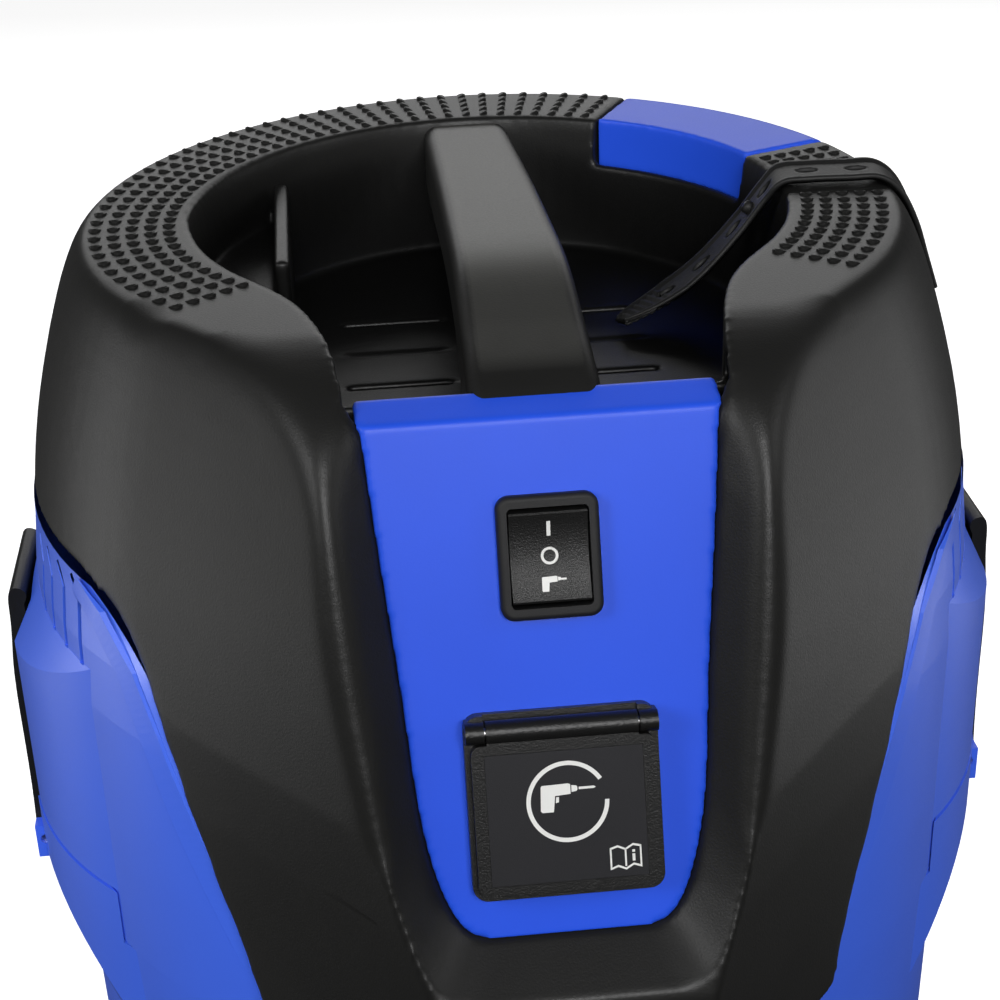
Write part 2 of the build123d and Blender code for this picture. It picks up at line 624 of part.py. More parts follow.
# ---------------------------------------------------------------- float valve and filter under the deck
with BuildPart() as float_cage:
    with Locations((0, 0, deck_z - 72)):
        Cylinder(42, 72, align=(Align.CENTER, Align.CENTER, Align.MIN))
        Cylinder(38, 72, align=(Align.CENTER, Align.CENTER, Align.MIN), mode=Mode.SUBTRACT)
    with BuildSketch(Plane.XY.offset(deck_z - 62)):
        with PolarLocations(40, 8):
            Rectangle(16, 18)
    extrude(amount=50, mode=Mode.SUBTRACT)
    with Locations((0, 0, deck_z - 72)):
        Cylinder(38.5, 2.5, align=(Align.CENTER, Align.CENTER, Align.MIN))
save(float_cage.part, "float_cage")

float_cup = turned((0, deck_z - 68), (32, deck_z - 68), (37.2, deck_z - 62), (37.2, deck_z - 30), (0, deck_z - 26))
save(float_cup, "float_cup")

with BuildPart() as filter_cartridge:
    with BuildSketch(Plane.XY.offset(150)):
        Circle(84)
        with PolarLocations(84, 40):
            RegularPolygon(3.2, 3, mode=Mode.SUBTRACT)
        Circle(50, mode=Mode.SUBTRACT)
    extrude(amount=deck_z - 150)
save(filter_cartridge.part, "filter_cartridge")

with BuildPart() as filter_cap:
    with Locations((0, 0, 142)):
        Cylinder(88, 8, align=(Align.CENTER, Align.CENTER, Align.MIN))
    with Locations((0, 0, 150)):
        Cylinder(49.5, 10, align=(Align.CENTER, Align.CENTER, Align.MIN))
    with BuildSketch(Plane.XY.offset(138)):
        SlotOverall(70, 12)
    extrude(amount=4)
save(filter_cap.part, "filter_cap")

# ---------------------------------------------------------------- container, inlet, base
tub_z = 72.0
with BuildPart() as container:
    with BuildSketch(Plane.XZ):
        with BuildLine():
            Polyline((0, tub_z), (150, tub_z), (163.0, tub_z + 14), (167.4, seam), (164.0, seam), (159.8, tub_z + 15),
                     (148.6, tub_z + 3.4), (0, tub_z + 3.4), (0, tub_z))
        make_face()
    revolve(axis=Axis.Z)
    with BuildPart(mode=Mode.PRIVATE) as lobes:                  # ears that carry the latches
        with BuildSketch(Plane.XZ):
            Polygon((120, 299), (167.0, 299), (181.0, 347), (181.0, 362), (120, 362), align=None)
        revolve(axis=Axis.Z)
        with Locations((59, 0, 330)):
            Cylinder(122, 100, mode=Mode.INTERSECT)
        with Locations((0, 0, 330)):
            Box(400, 400, 500, align=(Align.MIN, Align.CENTER, Align.CENTER), mode=Mode.INTERSECT)
        with Locations((0, 0, seam)):
            Cylinder(168.9, 100, align=(Align.CENTER, Align.CENTER, Align.MIN), mode=Mode.SUBTRACT)
            Cylinder(165.0, 100, align=(Align.CENTER, Align.CENTER, Align.MAX), mode=Mode.SUBTRACT)
        mirror(about=Plane.YZ)
    add(lobes.part)
    for side in (-1, 1):                                          # lugs that hold the latch pins
        for y in (latch_y - latch_w / 2 - 3.5, latch_y + latch_w / 2 + 3.5):
            with Locations((side * 175.0, y, pivot_z - 1)):
                Box(11.4, 5.6, 14)
        with Locations((side * 171.6, latch_y, pivot_z - 5.4)):    # room for the lever
            Box(40, latch_w + 1.4, 60, align=(Align.MIN if side > 0 else Align.MAX, Align.CENTER, Align.MIN),
                mode=Mode.SUBTRACT)
        with Locations((side * pivot_x, latch_y, pivot_z)):
            Cylinder(2.0, 80, rotation=(90, 0, 0), mode=Mode.SUBTRACT)
    with Locations((0, -160, 282)):
        Cylinder(34.2, 60, rotation=(90, 0, 0), mode=Mode.SUBTRACT)
print("container solids", [round(b.volume) for b in container.part.solids()])
save(container.part, "container")

inlet_z = 282.0
with BuildPart() as inlet_fitting:
    with BuildSketch(Plane.XZ):                                   # block round the hose inlet
        with Locations((0, 288)):
            RectangleRounded(112, 98, 16)
    extrude(amount=197)
    fillet(inlet_fitting.edges().filter_by(lambda e: e.center().Y < -196), 5)
    with Locations((0, 0, 288)):
        Cylinder(167.8, 200, mode=Mode.SUBTRACT)
    with BuildSketch(Plane.XZ):
        with Locations((0, inlet_z)):
            Circle(34.0)
    extrude(amount=198)
    with Locations((0, 0, inlet_z)):
        Cylinder(148, 100, mode=Mode.SUBTRACT)
    with Locations((0, -150, inlet_z)):
        Cylinder(29.0, 110, rotation=(90, 0, 0), mode=Mode.SUBTRACT)
    with Locations((0, -172, inlet_z)):                           # wider throat behind the hose seat
        Cylinder(31.5, 60, rotation=(-90, 0, 0), align=(Align.CENTER, Align.CENTER, Align.MIN),
                 mode=Mode.SUBTRACT)
inlet_body = max(inlet_fitting.part.solids(), key=lambda b: b.volume)
print("inlet solids", [round(b.volume) for b in inlet_fitting.part.solids()])
save(inlet_body, "inlet_fitting")

with BuildPart() as base_ring:
    with BuildSketch(Plane.XZ):                                   # open underneath, like a moulded dolly
        Polygon((108, 68), (150, 68), (165.5, 83), (186.5, 70.5), (188.5, 68), (188.5, 52), (192, 52), (192, 70),
                (190, 73.5), (168.2, 87), (168.2, 98), (164.2, 98), (163.9, tub_z + 15),
                (150.4, tub_z - 0.2), (108, tub_z - 0.2), align=None)
    revolve(axis=Axis.Z)
    stems = [(castor_r * cos(radians(a)), castor_r * sin(radians(a)), 52) for a in (45, 135, 225, 315)]
    with BuildPart(mode=Mode.PRIVATE) as bosses:
        with Locations(*stems):
            Cylinder(13, 24, align=(Align.CENTER, Align.CENTER, Align.MIN))
        with BuildSketch(Plane.XZ):
            Polygon((0, tub_z - 0.2), (150.4, tub_z - 0.2), (163.9, tub_z + 15), (0, tub_z + 15), align=None)
        revolve(axis=Axis.Z, mode=Mode.SUBTRACT)
    add(bosses.part)
    with Locations(*stems):
        Cylinder(5.06, 12, align=(Align.CENTER, Align.CENTER, Align.MIN), mode=Mode.SUBTRACT)
save(base_ring.part, "base_ring")

CASTORS = {"front_right": -45, "back_right": 45, "back_left": 135, "front_left": 225}
for tag, az in CASTORS.items():
    cx, cy = castor_r * cos(radians(az)), castor_r * sin(radians(az))
    back = 1 if cx < 0 else -1                                    # wheels trail inwards at rest
    wx = cx + back * fork_trail
    with BuildPart() as fork:
        with Locations((cx, cy, 47)):
            Cylinder(12, 4, align=(Align.CENTER, Align.CENTER, Align.MIN))
            Cylinder(5.0, 16, align=(Align.CENTER, Align.CENTER, Align.MIN))
        with BuildSketch(Plane.XZ.offset(-cy)):
            with BuildLine():
                Polyline((cx - 12 * back, 51), (cx - 12 * back, 46.5), (wx - 6 * back, wheel_r - 6))
                ThreePointArc((wx - 6 * back, wheel_r - 6), (wx, wheel_r - 8.5), (wx + 6 * back, wheel_r - 6))
                Polyline((wx + 6 * back, wheel_r - 6), (wx + 9 * back, 46.5), (wx + 9 * back, 51),
                         (cx - 12 * back, 51))
            make_face()
        extrude(amount=wheel_w / 2 + 3.4, both=True)
        with Locations((wx, cy, wheel_r)):
            Cylinder(wheel_r + 2.2, wheel_w + 1.0, rotation=(90, 0, 0), mode=Mode.SUBTRACT)
            Box(60, wheel_w + 1.0, 46, align=(Align.CENTER, Align.CENTER, Align.CENTER), mode=Mode.SUBTRACT)
            Cylinder(3.0, 60, rotation=(90, 0, 0), mode=Mode.SUBTRACT)
    print("fork", tag, [round(b.volume) for b in fork.part.solids()])
    save(fork.part, f"castor_fork_{tag}")
    with BuildPart() as wheel:
        with Locations((wx, cy, wheel_r)):
            Cylinder(wheel_r, wheel_w, rotation=(90, 0, 0))
            fillet(wheel.edges(), 3.0)
            Cylinder(3.06, 60, rotation=(90, 0, 0), mode=Mode.SUBTRACT)
    save(wheel.part, f"castor_wheel_{tag}")
    with BuildPart() as axle:
        with Locations((wx, cy, wheel_r)):
            Cylinder(3.0, wheel_w + 6.8, rotation=(90, 0, 0))
    save(axle.part, f"castor_axle_{tag}")

# ---------------------------------------------------------------- side latches
for tag, sx in (("left", -1), ("right", 1)):
    with BuildPart() as catch:                                    # ridge on the head behind the lever
        with BuildSketch(Plane.XZ.offset(-(latch_y - latch_w / 2 + 2))):
            Polygon((sx * 160, 430), (sx * 172.3, 432), (sx * 172.3, 439), (sx * 169.5, 446), (sx * 160, 448),
                    align=None)
        extrude(amount=-(latch_w - 4))
        add(head_housing.part, mode=Mode.SUBTRACT)
        with Locations((0, 0, 460)):
            Cylinder(168.0, 140, mode=Mode.SUBTRACT)
    catch_body = max(catch.part.solids(), key=lambda b: b.volume)
    print("catch", tag, [round(b.volume) for b in catch.part.solids()])
    save(catch_body, f"latch_catch_{tag}")
    with BuildPart() as lever:
        with BuildSketch(Plane.XZ.offset(-(latch_y - latch_w / 2))):
            with BuildLine():
                Line((sx * 173.0, pivot_z), (sx * 172.8, 444))
                Spline((sx * 172.8, 444), (sx * 173.4, 450), (sx * 175.4, 450.5), (sx * 178.4, 441),
                       (sx * 179.8, 422), (sx * 180.4, 390), (sx * 181.2, pivot_z))
                ThreePointArc((sx * 181.2, pivot_z), (sx * pivot_x, pivot_z - 4.2), (sx * 173.0, pivot_z))
            make_face()
        extrude(amount=-latch_w)
        with Locations((sx * pivot_x, latch_y, pivot_z)):
            Cylinder(2.06, 80, rotation=(90, 0, 0), mode=Mode.SUBTRACT)
    save(lever.part, f"latch_lever_{tag}")
    with BuildPart() as pin:
        with Locations((sx * pivot_x, latch_y, pivot_z)):
            Cylinder(2.0, latch_w + 10, rotation=(90, 0, 0))
    save(pin.part, f"latch_pin_{tag}")
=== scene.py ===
import bpy, bmesh
from math import sin, cos, radians, sqrt, pi
from mathutils import Vector, Matrix
from mathutils.kdtree import KDTree


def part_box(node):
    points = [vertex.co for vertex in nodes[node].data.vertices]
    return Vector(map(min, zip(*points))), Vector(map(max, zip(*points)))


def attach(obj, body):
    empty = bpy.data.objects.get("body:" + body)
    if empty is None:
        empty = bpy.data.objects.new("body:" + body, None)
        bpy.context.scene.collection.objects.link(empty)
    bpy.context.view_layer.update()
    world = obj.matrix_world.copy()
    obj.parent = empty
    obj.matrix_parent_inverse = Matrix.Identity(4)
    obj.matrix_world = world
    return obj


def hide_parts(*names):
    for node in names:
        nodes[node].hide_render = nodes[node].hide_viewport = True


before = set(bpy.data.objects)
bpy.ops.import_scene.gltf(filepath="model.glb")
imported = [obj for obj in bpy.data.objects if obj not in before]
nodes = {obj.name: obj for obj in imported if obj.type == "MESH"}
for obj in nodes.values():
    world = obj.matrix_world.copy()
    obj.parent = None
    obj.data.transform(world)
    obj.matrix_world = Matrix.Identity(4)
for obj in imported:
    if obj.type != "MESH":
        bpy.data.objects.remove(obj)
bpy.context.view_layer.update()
MM = 0.001
VOXEL = 1.3              # grain of the rounded mouldings, millimetres
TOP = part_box("top_cover")[1][2] / MM          # height of the ring, millimetres
LEAN = radians(20)
PANEL_Y, PANEL_Z = -142.2, TOP - 14.5         # top front edge of the switch panel
TOPZ = Vector((0, 0, TOP))
YAW, PITCH, ROLL = radians(5.02), radians(27.32), radians(-1.80)
CAMERA_AT = Vector((-56.9, -650.1, TOP + 223.0))       # millimetres
LENS, SENSOR = 71.67, 36.0
SKY = ((0.02, 0.40), (0.40, 0.60), (0.50, 0.8), (0.60, 1.0), (0.93, 1.0), (0.97, 0.50), (0.99, 0.25))
# pairs of height (0 straight down, 0.5 level, 1 straight up) and brightness
SKY_FRONT, SKY_BACK = 0.22, 1.45              # share of that brightness in front of and behind the object
STRIP_WAY, STRIP_REACH = Vector((0.0569, 0.6501, 0.223)), 2.4      # the strip light, seen from the ring
HOLES = [20.3, 37.4, 54.5, 71.6, 88.5, 106.5, 123.5, 140.0]        # along the strap
STUD = 97                                     # the strap's stud, along the strap
HALF_WIDE, HOLE_LONG, HOLE_WIDE = 10.2, 3.9, 2.5


# ------------------------------------------------------------------ camera
def set_camera():
    """Camera in front of the ring, a little to the left, looking down on the panel."""
    d = Vector((sin(YAW) * cos(PITCH), cos(YAW) * cos(PITCH), -sin(PITCH)))
    r = Vector((cos(YAW), -sin(YAW), 0))
    u = r.cross(d)
    r2, u2 = r * cos(ROLL) + u * sin(ROLL), u * cos(ROLL) - r * sin(ROLL)
    cam = bpy.data.objects.new("camera", bpy.data.cameras.new("camera"))
    cam.data.lens, cam.data.sensor_width = LENS, SENSOR
    cam.data.clip_start, cam.data.clip_end = 0.05, 100
    m = Matrix((r2, u2, -d)).transposed().to_4x4()
    m.translation = CAMERA_AT * MM
    cam.matrix_world = m
    bpy.context.scene.collection.objects.link(cam)
    bpy.context.scene.camera = cam


set_camera()


# ------------------------------------------------------------------ materials
def nodes_of(mat):
    mat.use_nodes = True
    t = mat.node_tree
    return t, t.nodes["Principled BSDF"]


def plastic(name, color, rough, grain=1100, bump=0.10, dark=0.75, spec=0.5, coat=0.0, rough_span=0.08,
            wear_and_sheen=0.0, tray_shade=False):
    """Moulded plastic: fine spark-eroded grain, faint tone and gloss variation."""
    mat = bpy.data.materials.new(name)
    t, b = nodes_of(mat)
    b.inputs["Specular IOR Level"].default_value = spec
    b.inputs["Coat Weight"].default_value = coat
    b.inputs["Coat Roughness"].default_value = 0.25
    geo = t.nodes.new("ShaderNodeTexCoord")
    fine = t.nodes.new("ShaderNodeTexNoise")
    fine.inputs["Scale"].default_value, fine.inputs["Detail"].default_value = grain, 3.0
    broad = t.nodes.new("ShaderNodeTexNoise")
    broad.inputs["Scale"].default_value, broad.inputs["Detail"].default_value = 14, 4.0
    for n in (fine, broad):
        t.links.new(geo.outputs["Object"], n.inputs["Vector"])
    mix = t.nodes.new("ShaderNodeMix")
    mix.data_type = "RGBA"
    mix.inputs["A"].default_value = (*[c * dark for c in color], 1)
    mix.inputs["B"].default_value = (*color, 1)
    ramp = t.nodes.new("ShaderNodeMapRange")
    ramp.inputs["From Min"].default_value, ramp.inputs["From Max"].default_value = 0.3, 0.62
    t.links.new(broad.outputs["Fac"], ramp.inputs["Value"])
    t.links.new(ramp.outputs["Result"], mix.inputs["Factor"])
    shade = mix.outputs["Result"]
    if wear_and_sheen:                                  # upward faces paler: partly rubbed wear, partly a painted highlight of the light from above
        face, split = t.nodes.new("ShaderNodeNewGeometry"), t.nodes.new("ShaderNodeSeparateXYZ")
        up, rub_and_sheen = t.nodes.new("ShaderNodeMapRange"), t.nodes.new("ShaderNodeMix")
        up.inputs["From Min"].default_value, up.inputs["From Max"].default_value = 0.93, 0.995
        rub_and_sheen.data_type = "RGBA"
        t.links.new(face.outputs["Normal"], split.inputs[0])
        t.links.new(split.outputs["Z"], up.inputs["Value"])
        t.links.new(up.outputs["Result"], rub_and_sheen.inputs["Factor"])
        t.links.new(shade, rub_and_sheen.inputs["A"])
        # pale colour on upward faces: wear and painted top light together
        rub_and_sheen.inputs["B"].default_value = (wear_and_sheen, wear_and_sheen, wear_and_sheen * 0.93, 1)
        shade = rub_and_sheen.outputs["Result"]
    if tray_shade:                                # painted shade: darker where the mesh attribute marks the depth of the tray
        deep, tray_shade_mix = t.nodes.new("ShaderNodeAttribute"), t.nodes.new("ShaderNodeMix")
        deep.attribute_name, tray_shade_mix.data_type = "tray_shade", "RGBA"
        t.links.new(deep.outputs["Fac"], tray_shade_mix.inputs["Factor"])
        t.links.new(shade, tray_shade_mix.inputs["A"])
        # near-black colour of the painted shade deep in the tray
        tray_shade_mix.inputs["B"].default_value = (0.0030, 0.0030, 0.0029, 1)
        shade = tray_shade_mix.outputs["Result"]
    t.links.new(shade, b.inputs["Base Color"])
    gloss = t.nodes.new("ShaderNodeMapRange")
    gloss.inputs["To Min"].default_value = rough - rough_span
    gloss.inputs["To Max"].default_value = rough + rough_span
    t.links.new(fine.outputs["Fac"], gloss.inputs["Value"])
    t.links.new(gloss.outputs["Result"], b.inputs["Roughness"])
    bm = t.nodes.new("ShaderNodeBump")
    bm.inputs["Strength"].default_value, bm.inputs["Distance"].default_value = bump, 0.0004
    t.links.new(fine.outputs["Fac"], bm.inputs["Height"])
    t.links.new(bm.outputs["Normal"], b.inputs["Normal"])
    return mat


def metal(name, color, rough=0.32):
    mat = plastic(name, color, rough, grain=600, bump=0.04, dark=0.85)
    nodes_of(mat)[1].inputs["Metallic"].default_value = 1.0
    return mat


BLACK = plastic("black_grained", (0.0125, 0.0125, 0.0120), 0.42, grain=1500, bump=0.16, spec=0.36)
BLACK_SMOOTH = plastic("black_ring", (0.0125, 0.0125, 0.0120), 0.46, grain=1500, bump=0.10, spec=0.36)
GLOSSY = plastic("black_spark", (0.010, 0.010, 0.010), 0.36, grain=1700, bump=0.30, spec=0.36)
ROCKER = plastic("black_rocker", (0.010, 0.010, 0.010), 0.38, grain=2400, bump=0.45, spec=0.40)
BLUE = plastic("blue_panel", (0.019, 0.092, 0.80), 0.42, grain=1500, bump=0.05, dark=0.93, spec=0.30)
# paler base colour than the panel's blue: painted sheen for the washed-out highlights on the tub and shells
BLUE_TUB = plastic("blue_tub", (0.060, 0.165, 0.95), 0.38, grain=1300, bump=0.06, dark=0.93, spec=0.85)
# handle whose pale top is part wear, part painted highlight
HANDLE = plastic("handle_grip", (0.0125, 0.0125, 0.0120), 0.44, grain=1400, bump=0.12, spec=0.36,
                 wear_and_sheen=0.055)
# black plastic of the cover, with painted shade deep in the tray
COVER = plastic("black_cover", (0.0125, 0.0125, 0.0120), 0.42, grain=1500, bump=0.16, spec=0.30,
                tray_shade=True)
RUBBER = plastic("soft_rubber", (0.011, 0.011, 0.012), 0.60, grain=1800, bump=0.10, spec=0.35)
STRAP = plastic("strap_rubber", (0.011, 0.011, 0.011), 0.55, grain=900, bump=0.18, spec=0.4)
TYRE = plastic("wheel_rubber", (0.05, 0.05, 0.055), 0.6, grain=500, bump=0.2)
LABEL = plastic("label_film", (0.012, 0.012, 0.015), 0.50, grain=2600, bump=0.10, spec=0.30)
PRINT = plastic("white_print", (0.82, 0.82, 0.80), 0.55, grain=2000, bump=0.03, dark=0.96)
PAPER = plastic("filter_paper", (0.82, 0.79, 0.70), 0.9, grain=700, bump=0.3, dark=0.85)
FOAM = plastic("foam", (0.05, 0.05, 0.055), 0.95, grain=420, bump=0.8, dark=0.6)
BOARD = plastic("board", (0.02, 0.16, 0.06), 0.45, grain=900, bump=0.1)
WHITE = plastic("white_plastic", (0.78, 0.78, 0.75), 0.45, grain=900, bump=0.05, dark=0.95)
STEEL = metal("steel", (0.60, 0.60, 0.61))
ALU = metal("aluminium", (0.74, 0.74, 0.76), 0.4)
COPPER = metal("winding", (0.62, 0.32, 0.18), 0.45)

FINISH = {
    HANDLE: ["carry_handle"],
    BLACK: ["top_cover", "blow_port", "motor_deck", "filter_cap", "inlet_fitting", "base_ring",
            "latch_catch_left", "latch_catch_right", "latch_lever_left", "latch_lever_right", "float_cage"],
    BLACK_SMOOTH: ["tool_tray"],
    GLOSSY: ["socket_body", "socket_flap", "switch_body"],
    ROCKER: ["switch_rocker"],
    BLUE: ["front_panel", "clean_button"],
    BLUE_TUB: ["head_housing", "container"],
    RUBBER: ["switch_bezel", "cable_gland", "head_gasket", "motor_seal"],
    STRAP: ["hose_strap"],
    LABEL: ["flap_label"],
    PAPER: ["filter_cartridge"], FOAM: ["exhaust_foam"], BOARD: ["control_board"], WHITE: ["float_cup"],
    STEEL: ["flap_pin", "clean_rod", "button_spring", "motor_can", "bearing_lower", "bearing_upper",
            "motor_shaft", "latch_pin_left", "latch_pin_right"],
    ALU: ["fan_cover", "fan_wheel"], COPPER: ["stator", "armature"],
}
for name in nodes:
    if name.startswith("castor_wheel"):
        FINISH.setdefault(TYRE, []).append(name)
    elif name.startswith("castor_fork"):
        FINISH[GLOSSY].append(name)
    elif name.startswith("castor_axle"):
        FINISH[STEEL].append(name)
for mat, names in FINISH.items():
    for name in names:
        for slot in nodes[name].material_slots:
            slot.material = mat


# ------------------------------------------------------------------ mesh helpers
def new_object(name, verts, faces, mat, body, smooth=True):
    me = bpy.data.meshes.new(name)
    me.from_pydata([Vector(v) * MM for v in verts], [], faces)
    me.update()
    o = bpy.data.objects.new(name, me)
    bpy.context.scene.collection.objects.link(o)
    me.materials.append(mat)
    if smooth:
        for p in me.polygons:
            p.use_smooth = True
    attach(o, body)
    return o


def on_panel(x, s, h):
    """Point x across, s down and h out of the switch panel."""
    return Vector((x, PANEL_Y - sin(LEAN) * s - cos(LEAN) * h, PANEL_Z - cos(LEAN) * s + sin(LEAN) * h))


def applied(o):
    """Replaces a piece's mesh by what its modifiers make of it."""
    dg = bpy.context.evaluated_depsgraph_get()
    me = bpy.data.meshes.new_from_object(o.evaluated_get(dg))
    o.modifiers.clear()
    o.data = me
    return o


def soft_edges(o, lines, reach, rounds):
    """Rolls the creases near the given points into wide radii."""
    tree = KDTree(len(lines))
    for i, at in enumerate(lines):
        tree.insert(at, i)
    tree.balance()
    group = o.vertex_groups.new(name="crease")
    for v in o.data.vertices:
        d = tree.find(v.co)[2]
        if d < reach * MM:
            group.add([v.index], 1 - d / (reach * MM), "REPLACE")
    m = o.modifiers.new("roll", "SMOOTH")
    m.factor, m.iterations, m.vertex_group = 0.5, rounds, group.name
    applied(o)
    o.vertex_groups.clear()


def rounded_copy(name, sources, mat, body, voxel, rounds, keep=1.0, creases=None):
    """Moulded version of CAD pieces: same shape with softly rounded edges."""
    bm = bmesh.new()
    for node in sources:
        bm.from_mesh(nodes[node].data)
    bmesh.ops.remove_doubles(bm, verts=bm.verts, dist=1e-6)
    me = bpy.data.meshes.new(name)
    bm.to_mesh(me)
    bm.free()
    o = bpy.data.objects.new(name, me)
    bpy.context.scene.collection.objects.link(o)
    r = o.modifiers.new("remesh", "REMESH")
    r.mode, r.voxel_size, r.adaptivity = "VOXEL", voxel * MM, 0.0
    m = o.modifiers.new("smooth", "SMOOTH")
    m.factor, m.iterations = 0.5, rounds
    applied(o)
    if creases:
        soft_edges(o, *creases)
    if keep < 1:
        d = o.modifiers.new("thin", "DECIMATE")
        d.ratio = keep
        applied(o)
    o.data.materials.clear()
    o.data.materials.append(mat)
    for p in o.data.polygons:
        p.use_smooth = True
    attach(o, body)
    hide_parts(*sources)
    return o


def crease_points():
    """Middle points of the long creases between the flanks and the front of the cover."""
    bm = bmesh.new()
    bm.from_mesh(nodes["top_cover"].data)
    bmesh.ops.remove_doubles(bm, verts=bm.verts, dist=1e-5)
    found = []
    for e in bm.edges:
        if len(e.link_faces) == 2 and e.is_convex and radians(18) < e.calc_face_angle(0) < radians(62):
            a, b = (v.co for v in e.verts)
            mid = (a + b) / 2
            if mid.y < -0.075 and mid.z > 0.365 and abs(mid.x) > 0.055:
                found.extend(a.lerp(b, k / 4) for k in range(5))
    bm.free()
    return found


cover = rounded_copy("top_moulding", ["top_cover", "tool_tray"], BLACK, "head", VOXEL, 5,
                     keep=0.35, creases=(crease_points(), 11, 120))
cover.data.materials[0] = COVER


def ramp01(value, span):
    return min(1.0, max(0.0, value / span))


# painted shade mask: per-vertex darkness of the tray, read by the cover's material
tray_shade = cover.data.attributes.new("tray_shade", "FLOAT", "POINT")
for v in cover.data.vertices:                         # 1 deep in the tray, fading out towards its rim
    x, y, z = v.co / MM
    wall = ramp01(103.5 - sqrt(x * x + y * y), 3) if y > -60 else ramp01(76 - abs(x), 3)
    tray_shade.data[v.index].value = wall * ramp01(TOP - 5 - z, 9) * ramp01(y + 127, 3)
panel = rounded_copy("panel_moulding", ["front_panel"], BLUE, "head", 1.0, 5, keep=0.4)
button = rounded_copy("button_moulding", ["clean_button"], BLUE, "button", 1.0, 5, keep=0.4)


# ------------------------------------------------------------------ grip scales on the ring
def grip_scales():
    """Rows of small half-moon scales moulded on the flat of the ring."""
    verts, faces, ring = [], [], 9
    width, depth = 2.25, 3.1

    def scale(radius, az, forward):
        n, a = len(verts), radians(az)
        out, on = Vector((cos(a), sin(a), 0)), Vector((-sin(a), cos(a), 0)) * forward
        at = out * radius - on * depth * 0.5
        hit, where, _, _ = cover.ray_cast(Vector((at.x, at.y, TOP + 40)) * MM, Vector((0, 0, -1)))
        at.z = where.z / MM if hit else TOP
        for k, low, rise in ((1.0, -0.5, 0.0), (1.0, 0.12, 0.72), (0.74, 0.24, 0.92)):
            for i in range(ring):
                t = pi * i / (ring - 1)
                p = at + out * width * k * cos(t) + on * (depth * k * sin(t) + 0.25 * (1 - k))
                verts.append(p + Vector((0, 0, low + rise * sin(t) ** 0.7)))
        for level in range(2):
            for i in range(ring - 1):
                q = n + level * ring + i
                faces.append((q, q + 1, q + ring + 1, q + ring))
            q = n + level * ring
            faces.append((q + ring - 1, q, q + ring, q + 2 * ring - 1))
        faces.append(tuple(n + 2 * ring + i for i in range(ring)))
        faces.append(tuple(n + i for i in reversed(range(ring))))

    def column(az, outer, pitch, forward, count=5):
        for i in range(count):
            scale(outer - pitch * i, az, forward)

    for k in range(11):                                   # right front, up to the strap
        column(-36 + 3.1 * k, 131 + 0.2 * k, 6.2, -1)
    for k in range(3):                                    # between strap and button
        column(11.5 + 3.1 * k, 133.2, 6.1, -1)
    for k in range(44):                                   # round the back to the left front
        az = 64.6 + 3.54 * k
        column(az, 134 - (5.0 * ((az - 180) / 36.7) ** 2 if az > 180 else 0), 6.2, 1 if az > 90 else -1)
    outward(new_object("grip_scales", verts, faces, BLACK_SMOOTH, "head", smooth=False))


def outward(o):
    bm = bmesh.new()
    bm.from_mesh(o.data)
    bmesh.ops.recalc_face_normals(bm, faces=bm.faces)
    bm.to_mesh(o.data)
    bm.free()


grip_scales()


# ------------------------------------------------------------------ bevel strip on the side shells
def shell_strips():
    """Raised strip on each blue side shell, parallel to the edge of the black cover."""
    edge = [(-84, -86), (-98, -92.5), (-111, -108.5), (-119, -128.5), (-129, -160.5), (-136, -180.5),
            (-143, -201.5), (-150, -223)]              # front to back, and down from the ring
    for side in (-1, 1):
        verts, faces, rows = [], [], []
        for i in range(len(edge) - 1):
            for k in range(8):
                (y0, z0), (y1, z1) = edge[i], edge[i + 1]
                rows.append((y0 + (y1 - y0) * k / 8, z0 + (z1 - z0) * k / 8))
        rows.append(edge[-1])
        for i, (y, z) in enumerate(rows):
            (ya, za), (yb, zb) = rows[max(i - 3, 0)], rows[min(i + 3, len(rows) - 1)]
            ty, tz = yb - ya, zb - za
            n = sqrt(ty * ty + tz * tz)
            ny, nz = -tz / n, ty / n                      # towards the back and down
            fade = min(1, i / 8, (len(rows) - 1 - i) / 3)
            for off, proud in ((0.7, -0.8), (0.9, 0.75), (8.2, 0.95), (9.6, -0.4)):
                yy, zz = y + ny * off, z + nz * off
                r = 168.4 - max(0, (zz + TOP - 440) * 0.036) + proud * fade
                verts.append((side * sqrt(max(r * r - yy * yy, 1)), yy, TOP + zz))
        for i in range(len(rows) - 1):
            for k in range(3):
                a = i * 4 + k
                faces.append((a, a + 1, a + 5, a + 4))
        name = "shell_strip_" + ("left" if side < 0 else "right")
        outward(new_object(name, verts, faces, BLUE_TUB, "head", smooth=False))


shell_strips()


# ------------------------------------------------------------------ printed and embossed signs
def sign(name, polys, place, mat, body, thick=0.12):
    """Thin raised print from flat outlines; place maps (x, up) to a point and takes the height."""
    verts, faces = [], []
    for poly in polys:
        n, k = len(verts), len(poly)
        for h in (0.0, thick):
            verts.extend(place(x, y, h) for x, y in poly)
        faces.append(tuple(n + k + i for i in range(k)))
        faces.append(tuple(n + i for i in reversed(range(k))))
        for i in range(k):
            j = (i + 1) % k
            faces.append((n + i, n + j, n + k + j, n + k + i))
    outward(new_object(name, verts, faces, mat, body, smooth=False))


def arc_band(cx, cy, r, w, a0, a1, n=40):
    """Short quads that follow an arc."""
    out, low, high = [], r - w / 2, r + w / 2
    for i in range(n):
        p, q = radians(a0 + (a1 - a0) * i / n), radians(a0 + (a1 - a0) * (i + 1) / n)
        corners = ((low, p), (high, p), (high, q), (low, q))
        out.append([(cx + k * cos(a), cy + k * sin(a)) for k, a in corners])
    return out


def rect(x0, y0, x1, y1):
    return [(x0, y0), (x1, y0), (x1, y1), (x0, y1)]


